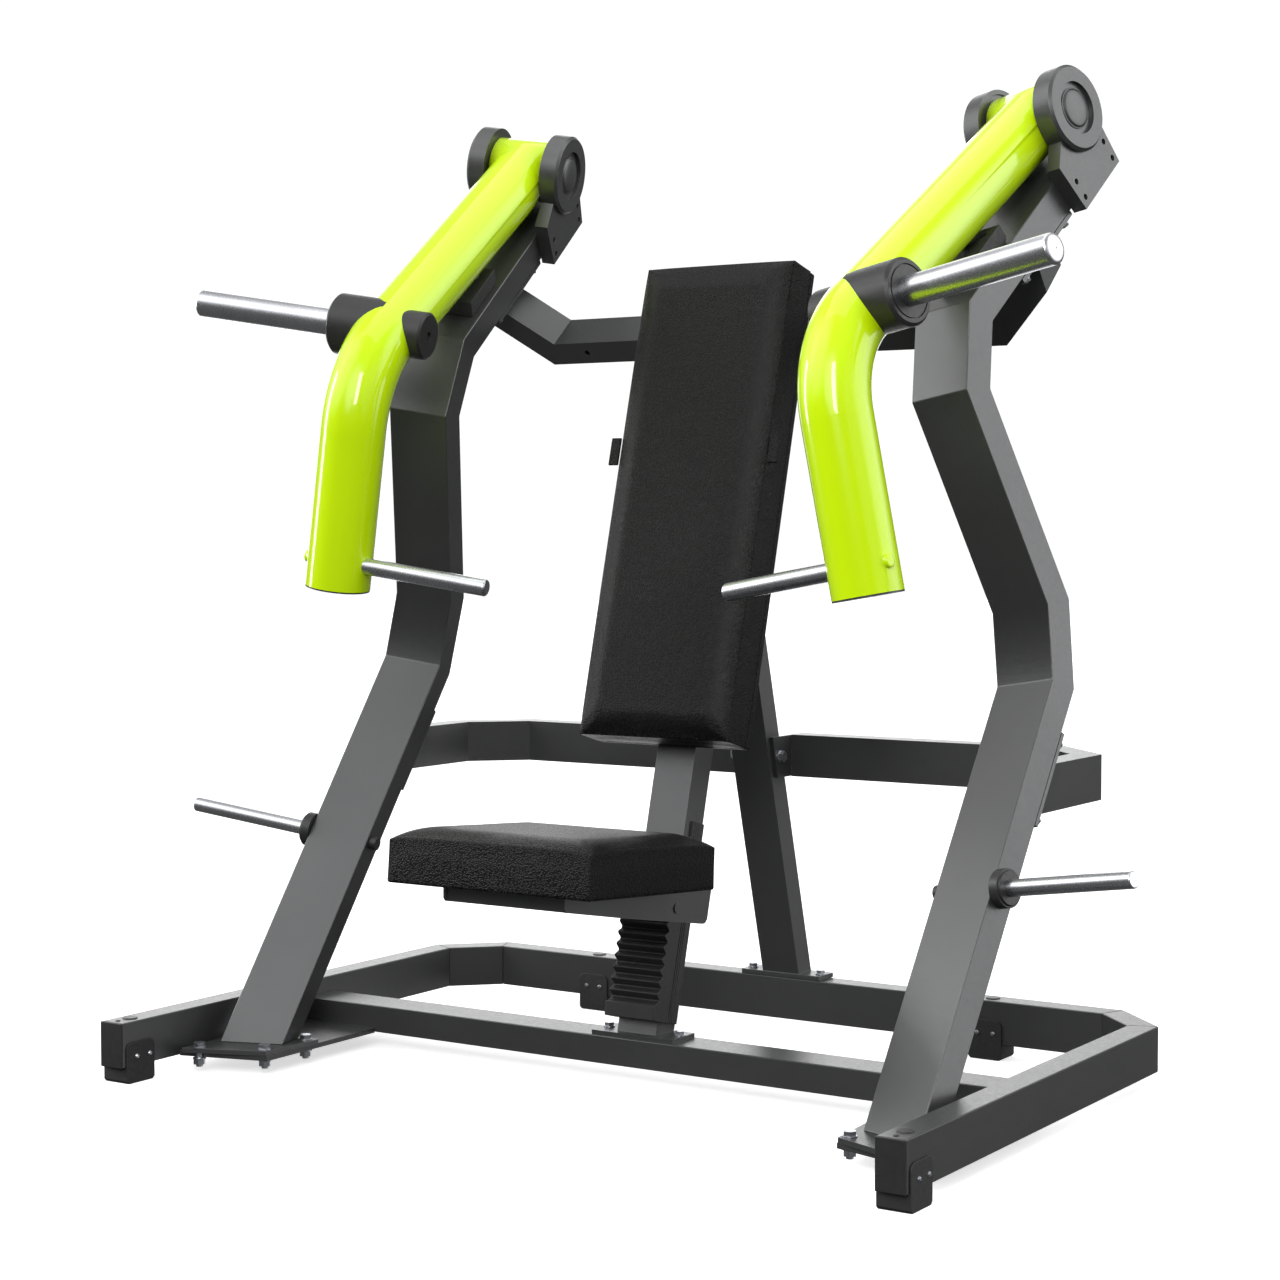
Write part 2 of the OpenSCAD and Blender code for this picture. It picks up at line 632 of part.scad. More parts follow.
column_gussets();
seat_rack();
rack_side_strips();
backrest_pad();
backrest_board();
backrest_brackets();
backrest_tabs();
seat_pad();
seat_board();
seat_carriage();
latch_bar();
guide_roller();
carriage_bolts();
storage_peg(-1);  // storage_peg_left
storage_peg(1);  // storage_peg_right
peg_collars();
head_bracket_outer(-1);  // head_bracket_outer_left
head_bracket_inner(-1);  // head_bracket_inner_left
head_bracket_outer(1);  // head_bracket_outer_right
head_bracket_inner(1);  // head_bracket_inner_right
head_caps();
pivot_shaft(-1);  // pivot_shaft_left
pivot_shaft(1);  // pivot_shaft_right
stop_block(-1);  // stop_block_left
stop_block(1);  // stop_block_right
arm(-1);  // arm_left
arm(1);  // arm_right
arm_fittings(-1);  // arm_fittings_left
arm_fittings(1);  // arm_fittings_right
weight_horn(-1);  // weight_horn_left
weight_horn(1);  // weight_horn_right
hand_grip(-1);  // hand_grip_left
hand_grip(1);  // hand_grip_right
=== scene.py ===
import math
import json

import bpy
import bmesh
import numpy as np
from mathutils import Matrix, Vector, noise


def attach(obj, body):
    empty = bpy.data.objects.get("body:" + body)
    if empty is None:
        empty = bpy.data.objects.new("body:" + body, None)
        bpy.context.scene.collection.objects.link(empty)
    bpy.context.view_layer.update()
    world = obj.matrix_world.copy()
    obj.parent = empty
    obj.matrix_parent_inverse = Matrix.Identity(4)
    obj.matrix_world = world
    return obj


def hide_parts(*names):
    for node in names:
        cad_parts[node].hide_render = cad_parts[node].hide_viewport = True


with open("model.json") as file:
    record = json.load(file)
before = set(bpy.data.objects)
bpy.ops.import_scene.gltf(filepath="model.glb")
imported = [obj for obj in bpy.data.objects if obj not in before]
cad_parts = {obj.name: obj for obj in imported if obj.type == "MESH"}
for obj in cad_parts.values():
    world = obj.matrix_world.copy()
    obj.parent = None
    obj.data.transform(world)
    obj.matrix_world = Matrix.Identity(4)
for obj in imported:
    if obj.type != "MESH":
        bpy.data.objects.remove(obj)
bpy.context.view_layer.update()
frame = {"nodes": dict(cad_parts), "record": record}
N = frame["nodes"]
scene = bpy.context.scene

# ------------------------------------------------------------------ helpers
MM = 0.001
Y_OFF = 0.246
LEAN = math.radians(15.11)
YAW = math.radians(13.21)
TILT = math.radians(9.05)


def rot_x(a):
    return Matrix.Rotation(a, 4, "X")


def side_matrix(m):
    """Side assembly frame: x across the arm's plane, y rearwards, z up."""
    base = Matrix.Translation((0, Y_OFF, 0)) @ Matrix.Diagonal((m, 1, 1, 1))
    return base @ Matrix.Rotation(-YAW, 4, "Z") @ Matrix.Rotation(-TILT, 4, "Y")


def new_object(name, mesh, body, material=None):
    o = bpy.data.objects.new(name, mesh)
    scene.collection.objects.link(o)
    if material is not None:
        o.data.materials.clear()
        o.data.materials.append(material)
    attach(o, body)
    return o


def modifier(o, kind, name, **kw):
    m = o.modifiers.new(name, kind)
    for k, v in kw.items():
        setattr(m, k, v)
    return m


def apply_all(o):
    """Bakes the modifiers of one of the scene's own pieces into its mesh."""
    dg = bpy.context.evaluated_depsgraph_get()
    me = bpy.data.meshes.new_from_object(o.evaluated_get(dg))
    o.modifiers.clear()
    old = o.data
    o.data = me
    bpy.data.meshes.remove(old)


# ---------------------------------------------------------------- materials
class Tree:
    """Small wrapper that keeps node trees readable."""

    def __init__(self, name):
        self.mat = bpy.data.materials.new(name)
        self.mat.use_nodes = True
        self.t = self.mat.node_tree
        self.t.nodes.clear()
        self.out = self.add("ShaderNodeOutputMaterial")
        self.bsdf = self.add("ShaderNodeBsdfPrincipled")
        self.link(self.bsdf, "BSDF", self.out, "Surface")
        self.geo = self.add("ShaderNodeNewGeometry")
        self.tex = self.add("ShaderNodeTexCoord")

    def add(self, kind, **kw):
        n = self.t.nodes.new(kind)
        for k, v in kw.items():
            setattr(n, k, v)
        return n

    def link(self, a, ao, b, bi):
        self.t.links.new(a.outputs[ao], b.inputs[bi])

    def set(self, **kw):
        for k, v in kw.items():
            self.bsdf.inputs[k.replace("_", " ")].default_value = v

    def noise(self, scale, detail=2.0, rough=0.5, dist=0.0):
        n = self.add("ShaderNodeTexNoise")
        n.inputs["Scale"].default_value = scale
        n.inputs["Detail"].default_value = detail
        n.inputs["Roughness"].default_value = rough
        n.inputs["Distortion"].default_value = dist
        self.link(self.tex, "Object", n, "Vector")
        return n

    def voronoi(self, scale, feature="F1", smooth=0.3):
        n = self.add("ShaderNodeTexVoronoi")
        n.feature = feature
        n.inputs["Scale"].default_value = scale
        if "Smoothness" in n.inputs:
            n.inputs["Smoothness"].default_value = smooth
        self.link(self.tex, "Object", n, "Vector")
        return n

    def ramp(self, src, out, lo, hi, a, b):
        r = self.add("ShaderNodeMapRange")
        r.inputs["From Min"].default_value = lo
        r.inputs["From Max"].default_value = hi
        r.inputs["To Min"].default_value = a
        r.inputs["To Max"].default_value = b
        self.link(src, out, r, "Value")
        return r

    def mixcol(self, fac, out, a, b):
        m = self.add("ShaderNodeMix", data_type="RGBA")
        m.inputs[6].default_value = (*a, 1)
        m.inputs[7].default_value = (*b, 1)
        self.t.links.new(fac.outputs[out], m.inputs[0])
        return m

    def bump(self, src, out, strength, dist, prev=None):
        b = self.add("ShaderNodeBump")
        b.inputs["Strength"].default_value = strength
        b.inputs["Distance"].default_value = dist
        self.link(src, out, b, "Height")
        if prev is not None:
            self.link(prev, "Normal", b, "Normal")
        return b


def powder_coat(name, base, light, rough=(0.34, 0.46), metallic=0.25, grain=1.0):
    """Satin powder coat: fine orange peel, faint tone drift, and a painted highlight that lightens the colour along
    the edges in patches.
    """
    t = Tree(name)
    drift = t.noise(3.1, 3.0, 0.55)
    fine = t.noise(950, 2.0, 0.6)
    col = t.mixcol(t.ramp(drift, "Fac", 0.3, 0.7, 0, 1), "Result", base, light)
    # painted highlight: the base colour is lightened along the bevelled edges, in patches set by noise, to stand in
    # for the light the edges catch
    bev = t.add("ShaderNodeBevel", samples=4)
    bev.inputs["Radius"].default_value = 0.0025
    dot = t.add("ShaderNodeVectorMath", operation="DOT_PRODUCT")
    t.link(bev, "Normal", dot, 0)
    t.t.links.new(t.geo.outputs["Normal"], dot.inputs[1])
    edge = t.ramp(dot, "Value", 0.93, 0.995, 1.0, 0.0)
    edge_highlight_noise = t.noise(34, 4.0, 0.7)
    edge_highlight_mask = t.add("ShaderNodeMath", operation="MULTIPLY")
    t.link(edge, "Result", edge_highlight_mask, 0)
    t.t.links.new(t.ramp(edge_highlight_noise, "Fac", 0.40, 0.75, 0.05, 0.3).outputs["Result"], edge_highlight_mask.inputs[1])
    edge_highlight_mix = t.add("ShaderNodeMix", data_type="RGBA")
    t.t.links.new(edge_highlight_mask.outputs[0], edge_highlight_mix.inputs[0])
    t.t.links.new(col.outputs[2], edge_highlight_mix.inputs[6])
    edge_highlight_mix.inputs[7].default_value = tuple(min(1, c * 2.2 + 0.02) for c in light) + (1,)
    t.t.links.new(edge_highlight_mix.outputs[2], t.bsdf.inputs["Base Color"])
    r = t.ramp(t.noise(160, 4.0, 0.6), "Fac", 0.3, 0.7, rough[0], rough[1])
    t.t.links.new(r.outputs["Result"], t.bsdf.inputs["Roughness"])
    b = t.bump(fine, "Fac", 0.16 * grain, 0.0004)
    b2 = t.bump(t.noise(190, 2.0, 0.5), "Fac", 0.05 * grain, 0.001, b)
    t.link(b2, "Normal", t.bsdf, "Normal")
    t.set(Metallic=metallic, Specular_IOR_Level=0.5)
    return t.mat


def gloss_paint(name, base, shade):
    """Thick gloss enamel under a clear coat, with the slightest orange peel."""
    t = Tree(name)
    drift = t.noise(2.2, 2.0, 0.5)
    col = t.mixcol(t.ramp(drift, "Fac", 0.35, 0.65, 0, 1), "Result", base, shade)
    t.t.links.new(col.outputs[2], t.bsdf.inputs["Base Color"])
    r = t.ramp(t.noise(60, 4.0, 0.6), "Fac", 0.3, 0.7, 0.2, 0.27)
    t.t.links.new(r.outputs["Result"], t.bsdf.inputs["Roughness"])
    b = t.bump(t.noise(90, 2.0, 0.5), "Fac", 0.018, 0.002)
    t.link(b, "Normal", t.bsdf, "Normal")
    t.link(b, "Normal", t.bsdf, "Coat Normal")
    t.set(Coat_Weight=0.85, Coat_Roughness=0.05, Specular_IOR_Level=0.15)
    return t.mat


def metal(name, base, dark, rough=(0.16, 0.26), brush=0.08, stretch=(1, 1, 1)):
    """Plated steel with faint polishing lines and cloudy patches."""
    t = Tree(name)
    mp = t.add("ShaderNodeMapping")
    mp.inputs["Scale"].default_value = stretch
    t.link(t.tex, "Object", mp, "Vector")
    line = t.noise(420, 3.0, 0.6)
    t.link(mp, "Vector", line, "Vector")
    cloud = t.noise(22, 4.0, 0.6)
    col = t.mixcol(t.ramp(cloud, "Fac", 0.3, 0.7, 0, 1), "Result", base, dark)
    t.t.links.new(col.outputs[2], t.bsdf.inputs["Base Color"])
    r = t.ramp(line, "Fac", 0.25, 0.75, rough[0], rough[1])
    t.t.links.new(r.outputs["Result"], t.bsdf.inputs["Roughness"])
    b = t.bump(line, "Fac", brush, 0.0003)
    t.link(b, "Normal", t.bsdf, "Normal")
    t.set(Metallic=1.0)
    return t.mat


def moulded(name, base, light, rough=(0.42, 0.55), grain=0.25, scale=520):
    """Moulded plastic or rubber with a fine spark-eroded grain."""
    t = Tree(name)
    col = t.mixcol(t.ramp(t.noise(14, 4.0, 0.6), "Fac", 0.3, 0.7, 0, 1), "Result", base, light)
    t.t.links.new(col.outputs[2], t.bsdf.inputs["Base Color"])
    r = t.ramp(t.noise(120, 3.0, 0.6), "Fac", 0.3, 0.7, rough[0], rough[1])
    t.t.links.new(r.outputs["Result"], t.bsdf.inputs["Roughness"])
    b = t.bump(t.noise(scale, 3.0, 0.65), "Fac", grain, 0.0006)
    t.link(b, "Normal", t.bsdf, "Normal")
    t.set(Specular_IOR_Level=0.5)
    return t.mat


def vinyl(name, base, light, cell=330, strength=1.0, rough=(0.30, 0.44)):
    """Pebbled upholstery vinyl: rounded cells whose tight valleys are painted darker as painted shade, a finer second
    grain and a broad soft sheen.
    Where the cover is stretched over a rolled margin the grain is pulled nearly flat and shines a little more."""
    t = Tree(name)
    warp = t.noise(180, 2.0, 0.5)
    wv = t.add("ShaderNodeVectorMath", operation="MULTIPLY_ADD")
    t.link(warp, "Color", wv, 0)
    wv.inputs[1].default_value = (0.0016, 0.0016, 0.0016)
    t.t.links.new(t.tex.outputs["Object"], wv.inputs[2])
    v = t.voronoi(cell, "F1")
    t.link(wv, "Vector", v, "Vector")
    v2 = t.voronoi(cell * 2.1, "F1")
    t.link(wv, "Vector", v2, "Vector")
    broad = t.noise(6, 3.0, 0.55)
    col = t.mixcol(t.ramp(broad, "Fac", 0.3, 0.7, 0, 1), "Result", base, light)
    peb = t.ramp(v, "Distance", 0.12, 0.72, 1.0, 0.0)
    peb.interpolation_type = "SMOOTHSTEP"
    peb2 = t.ramp(v2, "Distance", 0.0, 0.8, 1.0, 0.0)
    s = t.add("ShaderNodeMath", operation="MULTIPLY_ADD")
    t.link(peb2, "Result", s, 0)
    s.inputs[1].default_value = 0.22
    t.t.links.new(peb.outputs["Result"], s.inputs[2])
    # painted shade: the base colour drops to a third of its value in the valleys between pebbles
    tone = t.add("ShaderNodeMix", data_type="RGBA")
    t.t.links.new(t.ramp(s, "Value", 0.15, 0.9, 0.0, 1.0).outputs["Result"], tone.inputs[0])
    tone.inputs[6].default_value = tuple(c * 0.35 for c in base) + (1,)
    t.t.links.new(col.outputs[2], tone.inputs[7])
    t.t.links.new(tone.outputs[2], t.bsdf.inputs["Base Color"])
    r = t.ramp(s, "Value", 0.1, 1.1, rough[1], rough[0])
    pull = t.add("ShaderNodeAttribute")
    pull.attribute_name = "stretch"
    flat = t.ramp(pull, "Fac", 0.0, 1.0, 1.0, 0.42)
    height = t.add("ShaderNodeMath", operation="MULTIPLY")
    t.link(s, "Value", height, 0)
    t.t.links.new(flat.outputs["Result"], height.inputs[1])
    rough_out = t.add("ShaderNodeMath", operation="MULTIPLY")
    t.link(r, "Result", rough_out, 0)
    t.t.links.new(t.ramp(pull, "Fac", 0.0, 1.0, 1.0, 1.0).outputs["Result"], rough_out.inputs[1])
    t.t.links.new(rough_out.outputs[0], t.bsdf.inputs["Roughness"])
    b = t.bump(height, "Value", strength, 0.0009)
    t.link(b, "Normal", t.bsdf, "Normal")
    t.t.links.new(t.ramp(pull, "Fac", 0.0, 1.0, 0.17, 0.175).outputs["Result"], t.bsdf.inputs["Specular IOR Level"])
    return t.mat


PAINT = powder_coat("frame_powder_coat", (0.098, 0.099, 0.101), (0.112, 0.113, 0.115), (0.30, 0.40), 0.72)
LIME = gloss_paint("lime_gloss", (0.595, 0.865, 0.001), (0.57, 0.84, 0.001))
CHROME = metal("satin_chrome", (0.74, 0.755, 0.785), (0.66, 0.675, 0.705), (0.24, 0.33), 0.04)
ZINC = metal("zinc_plate", (0.60, 0.62, 0.66), (0.45, 0.47, 0.51), (0.24, 0.4), 0.12)
PLASTIC = moulded("black_moulded", (0.017, 0.017, 0.0175), (0.023, 0.023, 0.0235), (0.36, 0.48))
RUBBER = moulded("black_rubber", (0.014, 0.014, 0.0145), (0.019, 0.019, 0.0195), (0.55, 0.72), 0.3, 380)
VINYL = vinyl("black_vinyl", (0.0058, 0.0058, 0.0060), (0.0080, 0.0080, 0.0083))

SLOT_MAT = {
    "frame_paint": PAINT,
    "lime_paint": LIME,
    "chrome": CHROME,
    "zinc_hardware": ZINC,
    "black_plastic": PLASTIC,
    "black_rubber": RUBBER,
    "black_vinyl": VINYL,
}

# ------------------------------------------------- carried-over CAD nodes
BEVEL = {
    "base_side_rail_left": 3.2, "base_side_rail_right": 3.2, "base_corner_left": 3.2, "base_corner_right": 3.2,
    "base_rear_rail": 3.2, "base_cross_bar": 3.2, "upright_left": 4.0, "upright_right": 4.0,
    "upper_cross_bar": 3.2, "mid_band_left": 3.2, "mid_band_right": 3.2, "rear_post": 3.2, "seat_column": 3.2,
    "head_bracket_outer_left": 1.6, "head_bracket_inner_left": 1.6, "head_bracket_outer_right": 1.6,
    "head_bracket_inner_right": 1.6, "head_caps": 1.0, "rail_end_caps": 1.6, "rail_plugs": 0.5,
    "rubber_foot_front_left": 1.6, "rubber_foot_front_right": 1.6, "rubber_foot_rear_left": 1.6,
    "rubber_foot_rear_right": 1.6, "gusset_plate_left": 1.0, "gusset_plate_right": 1.0, "upright_foot_left": 1.0,
    "upright_foot_right": 1.0, "base_bolts": 0.5, "frame_bolts": 0.5, "carriage_bolts": 0.6, "foot_screws": 0.3,
    "seat_rack": 1.0, "rack_side_strips": 0.5, "stop_block_left": 2.0, "stop_block_right": 2.0,
    "storage_peg_left": 0.6, "storage_peg_right": 0.6, "peg_collars": 1.2, "hand_grip_left": 0.8,
    "hand_grip_right": 0.8, "weight_horn_left": 2.5, "weight_horn_right": 2.5, "arm_fittings_left": 1.4,
    "arm_fittings_right": 1.4, "seat_carriage": 1.0, "backrest_tabs": 2.0, "backrest_brackets": 1.5,
    "backrest_board": 4.0, "seat_board": 1.0, "column_gussets": 1.0, "upper_bar_flanges": 1.0,
    "latch_bar": 0.5, "guide_roller": 1.0, "pivot_shaft_left": 0.5, "pivot_shaft_right": 0.5,
}
slot_of = {s["node"]: s["material_slot"] for s in frame["record"]["subparts"]}
for name, o in N.items():
    me = o.data
    me.materials.clear()
    me.materials.append(VINYL if name in ("backrest_board", "backrest_tabs") else SLOT_MAT[slot_of[name]])
    for key in ("custom_normal",):
        if key in me.attributes:
            me.attributes.remove(me.attributes[key])
    for p in me.polygons:
        p.use_smooth = True
    modifier(o, "WELD", "weld", merge_threshold=2e-5)
    if name in BEVEL:
        modifier(o, "DECIMATE", "planes", decimate_type="DISSOLVE", angle_limit=math.radians(0.4), use_dissolve_boundaries=False)
        modifier(o, "BEVEL", "edges", width=BEVEL[name] * MM, segments=3, limit_method="ANGLE",
                 angle_limit=math.radians(28), harden_normals=False, use_clamp_overlap=True, miter_outer="MITER_ARC")
    modifier(o, "WEIGHTED_NORMAL", "normals", keep_sharp=False, weight=80, mode="FACE_AREA_WITH_ANGLE")

# ------------------------------------------------------------------- pads
BACK = Matrix.Translation((0, -0.2316 + Y_OFF, 0.6066)) @ rot_x(math.radians(74.89))
SEAT = Matrix.Translation((0, -0.721 + Y_OFF, 0.392)) @ rot_x(math.radians(-4.06))


def ease(v):
    v = min(1.0, max(0.0, v))
    return v * v * (3 - 2 * v)


def cushion(name, width, length, deep, margin, fall, dip, step, wall=0.0):
    """Closed padded block with its back on z 0. The cover's outline stands at deep - fall and dips towards the
    corners; a rolled margin rises from it to the flat face, and the margins meet in mitred folds."""
    nx, ny = int(round(width / step)), int(round(length / step))
    nz = max(8, int(round((deep - fall) / step)))

    def stations(n, size):
        return [size * (i / n - 0.04 * math.sin(4 * math.pi * i / n) / 2) for i in range(n + 1)]

    xs = [x - width / 2 for x in stations(nx, width)]
    ys = stations(ny, length)
    bm = bmesh.new()

    def rim(x, y):
        """How far the sewn outline hangs below its mid-side height near a corner."""
        cx, cy = width / 2 - abs(x), min(y, length - y)
        return dip * math.exp(-math.hypot(cx, cy) / (0.75 * margin))

    def face_height(x, y):
        dx, dy = width / 2 - abs(x), min(y, length - y)
        d = min(dx, dy)
        k = 0.0022 + 0.05 * d
        if abs(dx - dy) < 6 * k:
            d = d - k * math.log(1 + math.exp(-abs(dx - dy) / k))
        t = min(1.0, max(0.0, d / margin))
        rise = 0.15 * math.sin(0.5 * math.pi * t) + 0.75 * t + 0.10 * (1 - (1 - t) ** 3)
        rise = min(1.0, rise)
        # a shallow valley along each fold, deepest close to the corner
        fold = math.exp(-((dx - dy) / (0.09 * margin + 0.16 * min(dx, dy))) ** 2)
        fold *= math.sin(math.pi * min(1.0, min(dx, dy) / (0.95 * margin))) ** 1.0 * 0.0022
        puff = 0.0014 * math.sin(math.pi * t) * (1 - fold)
        return deep - fall * (1 - rise) - rim(x, y) * (1 - t) ** 2 - fold + puff

    top = [[bm.verts.new((x, y, face_height(x, y))) for x in xs] for y in ys]
    for j in range(ny):
        for i in range(nx):
            bm.faces.new((top[j][i], top[j][i + 1], top[j + 1][i + 1], top[j + 1][i]))
    loop = [top[0][i] for i in range(nx)] + [top[j][nx] for j in range(ny)]
    loop += [top[ny][i] for i in range(nx, 0, -1)] + [top[j][0] for j in range(ny, 0, -1)]
    n = len(loop)
    prev = loop
    for k in range(1, nz + 1):
        f = k / nz
        ring = []
        for v in loop:
            on_x = abs(v.co.x) > width / 2 - 1e-6
            on_y = v.co.y < 1e-6 or v.co.y > length - 1e-6
            along = math.sin(math.pi * v.co.y / length) if on_x else math.sin(math.pi * (v.co.x / width + 0.5))
            along = 0.0 if (on_x and on_y) else max(0.0, along) ** 0.3
            swollen = wall * math.sin(math.pi * f ** 0.8) * along
            ox = math.copysign(swollen, v.co.x) if on_x and not on_y else 0
            oy = math.copysign(swollen, v.co.y - length / 2) if on_y and not on_x else 0
            ring.append(bm.verts.new((v.co.x + ox, v.co.y + oy, v.co.z * (1 - f))))
        for i in range(n):
            bm.faces.new((prev[i], ring[i], ring[(i + 1) % n], prev[(i + 1) % n]))
        prev = ring
    under = {}
    for j in range(1, ny):
        for i in range(1, nx):
            under[(i, j)] = bm.verts.new((xs[i], ys[j], 0))
    idx = [(i, 0) for i in range(nx)] + [(nx, j) for j in range(ny)] + [(i, ny) for i in range(nx, 0, -1)]
    idx += [(0, j) for j in range(ny, 0, -1)]
    for key, v in zip(idx, prev):
        under[key] = v
    for j in range(ny):
        for i in range(nx):
            bm.faces.new((under[(i, j)], under[(i, j + 1)], under[(i + 1, j + 1)], under[(i + 1, j)]))
    # crisp sewn outline and upright corners
    crease = bm.edges.layers.float.new("crease_edge")
    for i in range(n):
        e = bm.edges.get((loop[i], loop[(i + 1) % n]))
        e[crease] = 0.55
    for e in bm.edges:
        p, q = e.verts
        if all(abs(v.co.x) > width / 2 - 1e-6 and (v.co.y < 1e-6 or v.co.y > length - 1e-6) for v in (p, q)):
            e[crease] = 0.7
    bmesh.ops.recalc_face_normals(bm, faces=bm.faces)
    me = bpy.data.meshes.new(name)
    bm.to_mesh(me)
    bm.free()
    pull = me.attributes.new("stretch", "FLOAT", "POINT")
    for i, v in enumerate(me.vertices):
        d = min(width / 2 - abs(v.co.x), v.co.y, length - v.co.y) / margin
        if v.co.z > deep - fall - dip - 0.001 and 0.0 < d < 1.15:
            pull.data[i].value = max(0.0, math.sin(math.pi * min(1.0, d / 1.15))) ** 0.45
    for p in me.polygons:
        p.use_smooth = True
    return me


def swell(me, cap, keep, frames=14):
    """Lets the cover take up the foam's pressure, then limits how far any point went."""
    rest = np.empty(len(me.vertices) * 3, dtype=np.float32)
    me.vertices.foreach_get("co", rest)
    rest = rest.reshape(-1, 3)
    o = bpy.data.objects.new("swelling", me.copy())
    scene.collection.objects.link(o)
    pin = o.vertex_groups.new(name="pin")
    pin.add([i for i, v in enumerate(rest) if keep(v)], 1.0, "ADD")
    c = o.modifiers.new("cloth", "CLOTH")
    c.settings.quality = 6
    c.settings.mass = 0.35
    c.settings.tension_stiffness = 22
    c.settings.compression_stiffness = 18
    c.settings.shear_stiffness = 9
    c.settings.bending_stiffness = 1.6
    c.settings.use_pressure = True
    c.settings.uniform_pressure_force = 4
    c.settings.vertex_group_mass = "pin"
    c.settings.effector_weights.gravity = 0
    c.collision_settings.use_collision = False
    c.point_cache.frame_start, c.point_cache.frame_end = 1, frames
    for f in range(1, frames + 1):
        scene.frame_set(f)
    dg = bpy.context.evaluated_depsgraph_get()
    out = o.evaluated_get(dg).to_mesh()
    now = np.empty(len(out.vertices) * 3, dtype=np.float32)
    out.vertices.foreach_get("co", now)
    o.evaluated_get(dg).to_mesh_clear()
    move = now.reshape(-1, 3) - rest
    far = np.linalg.norm(move, axis=1, keepdims=True)
    print("SWELL", me.name, "max %.2f mm mean %.2f mm" % (far.max() * 1000, far.mean() * 1000))
    move = np.where(far > 1e-9, move / np.maximum(far, 1e-9) * cap * np.tanh(far / cap), 0)
    me.vertices.foreach_set("co", (rest + move).astype(np.float32).ravel())
    me.update()
    bpy.data.objects.remove(o, do_unlink=True)
    scene.frame_set(1)


def pad_piece(name, me, place, body, node):
    me.transform(place)
    o = new_object(name, me, body, VINYL)
    modifier(o, "SUBSURF", "round", levels=1, render_levels=1)
    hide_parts(node)
    return o


back_me = cushion("back_cushion", 0.3140, 0.8835, 0.0840, 0.044, 0.0190, 0.0030, 0.0060, 0.0006)
swell(back_me, 0.0008, lambda v: v[2] < 0.004)
pad_piece("back_cushion", back_me, BACK @ Matrix.Translation((0, 0.00075, -0.0712)), "frame", "backrest_pad")

seat_me = cushion("seat_cushion", 0.4045, 0.3745, 0.0930, 0.050, 0.0145, 0.0065, 0.0060, 0.0008)
swell(seat_me, 0.0010, lambda v: v[2] < 0.004)
pad_piece("seat_cushion", seat_me, SEAT @ Matrix.Translation((0, 0.001, 0.0004)), "seat", "seat_pad")

# ---------------------------------------------------------------- staging
cam_data = bpy.data.cameras.new("camera")
cam = bpy.data.objects.new("camera", cam_data)
scene.collection.objects.link(cam)
scene.camera = cam
az, pitch = math.radians(32.94), math.radians(2.61)
back = Vector((math.sin(az) * math.cos(pitch), -math.cos(az) * math.cos(pitch), math.sin(pitch)))
right = Vector((math.cos(az), math.sin(az), 0))
up = back.cross(right)
m = Matrix((right, up, back)).transposed().to_4x4()
m.translation = Vector((2.391, -3.954 + Y_OFF, 0.981))
cam.matrix_world = m
cam_data.sensor_width = 36
cam_data.sensor_fit = "HORIZONTAL"
cam_data.lens = 2510 / 1280 * 36
cam_data.clip_end = 100

floor_me = bpy.data.meshes.new("floor")
bm = bmesh.new()
bmesh.ops.create_grid(bm, x_segments=1, y_segments=1, size=40)
bm.to_mesh(floor_me)
bm.free()
floor = bpy.data.objects.new("floor", floor_me)
scene.collection.objects.link(floor)
ft = Tree("pale_floor")
ft.set(Base_Color=(0.9, 0.9, 0.9, 1), Roughness=0.9, Specular_IOR_Level=0.1)
ft.bsdf.inputs["Emission Color"].default_value = (1, 1, 1, 1)
ft.bsdf.inputs["Emission Strength"].default_value = 0.62
floor_me.materials.append(ft.mat)
floor.visible_diffuse = False
floor.visible_glossy = False

# white studio cove, seen by the camera only
cove_me = bpy.data.meshes.new("cove")
bm = bmesh.new()
bmesh.ops.create_uvsphere(bm, u_segments=48, v_segments=24, radius=30)
bm.to_mesh(cove_me)
bm.free()
cove = bpy.data.objects.new("cove", cove_me)
scene.collection.objects.link(cove)
cv = Tree("cove_white")
cv.set(Base_Color=(0, 0, 0, 1), Specular_IOR_Level=0.0)
cv.bsdf.inputs["Emission Color"].default_value = (1, 1, 1, 1)
cv.bsdf.inputs["Emission Strength"].default_value = 1.05
cove_me.materials.append(cv.mat)
for flag in ("visible_diffuse", "visible_glossy", "visible_transmission", "visible_volume_scatter", "visible_shadow"):
    setattr(cove, flag, False)

# studio surroundings: grey room, large softboxes above the front and behind, darker towards the floor in front
world = bpy.data.worlds.new("studio")
scene.world = world
world.use_nodes = True
wt = world.node_tree
wt.nodes.clear()
wo = wt.nodes.new("ShaderNodeOutputWorld")
wb = wt.nodes.new("ShaderNodeBackground")
wt.links.new(wb.outputs[0], wo.inputs[0])
wc = wt.nodes.new("ShaderNodeTexCoord")
wn = wt.nodes.new("ShaderNodeVectorMath")
wn.operation = "NORMALIZE"
wt.links.new(wc.outputs["Generated"], wn.inputs[0])
total = None


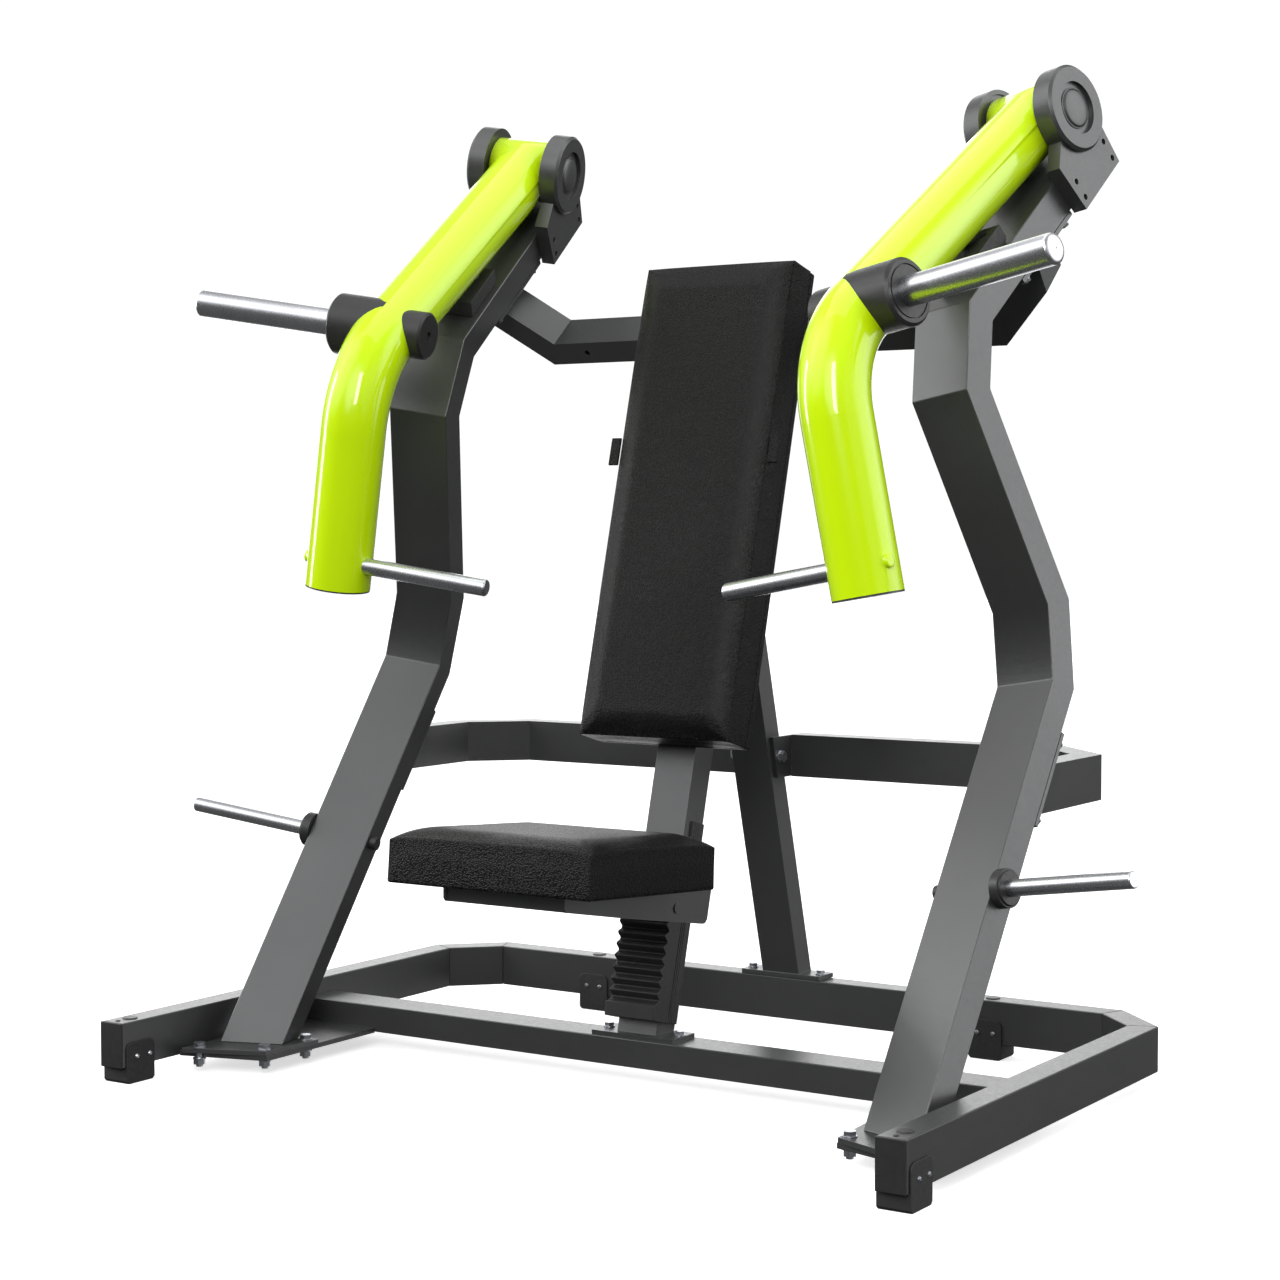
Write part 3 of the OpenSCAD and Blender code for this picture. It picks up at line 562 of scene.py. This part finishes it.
def softbox(direction, inner, outer, level):
    """Adds a round soft patch of light, by angle in degrees from its direction."""
    global total
    d = wt.nodes.new("ShaderNodeVectorMath")
    d.operation = "DOT_PRODUCT"
    wt.links.new(wn.outputs[0], d.inputs[0])
    d.inputs[1].default_value = Vector(direction).normalized()
    r = wt.nodes.new("ShaderNodeMapRange")
    r.interpolation_type = "SMOOTHSTEP"
    r.inputs["From Min"].default_value = math.cos(math.radians(outer))
    r.inputs["From Max"].default_value = math.cos(math.radians(inner))
    r.inputs["To Min"].default_value = 0.0
    r.inputs["To Max"].default_value = level
    wt.links.new(d.outputs["Value"], r.inputs["Value"])
    if total is None:
        total = r.outputs["Result"]
        return
    a = wt.nodes.new("ShaderNodeMath")
    a.operation = "ADD"
    wt.links.new(total, a.inputs[0])
    wt.links.new(r.outputs["Result"], a.inputs[1])
    total = a.outputs[0]


softbox((0, 0, 1), 10, 95, 0.36)
softbox((0.22, -0.88, 0.42), 8, 24, 2.7)
softbox((-0.50, -0.60, 0.62), 12, 34, 1.8)
softbox((-0.88, -0.22, 0.42), 8, 30, 1.0)
softbox((0.80, 0.50, 0.32), 12, 38, 2.3)
softbox((-0.62, 0.77, 0.14), 10, 34, 2.2)
softbox((-0.55, 0.79, -0.28), 6, 24, 1.2)
softbox((0.99, -0.30, 0.25), 8, 24, 0.5)
base = wt.nodes.new("ShaderNodeMath")
base.operation = "ADD"
wt.links.new(total, base.inputs[0])
base.inputs[1].default_value = 0.085
wt.links.new(base.outputs[0], wb.inputs["Strength"])
wb.inputs["Color"].default_value = (1, 1, 1, 1)


def area(name, loc, target, size, power, colour=(1, 1, 1)):
    d = bpy.data.lights.new(name, "AREA")
    d.shape = "RECTANGLE"
    d.size, d.size_y = size
    d.energy = power
    d.color = colour
    o = bpy.data.objects.new(name, d)
    scene.collection.objects.link(o)
    o.location = loc
    o.rotation_euler = (Vector(target) - Vector(loc)).to_track_quat("-Z", "Y").to_euler()
    return o


area("key_front", (2.3, -4.1, 3.1), (0, 0, 0.9), (0.9, 2.4), 105)
area("strip_left", (-4.3, -1.4, 1.9), (0, 0, 1.0), (0.7, 2.6), 75)
area("top", (0, 0.3, 4.2), (0, 0, 0.8), (3, 3), 34)
scene.view_settings.view_transform = "Standard"
scene.view_settings.look = "None"
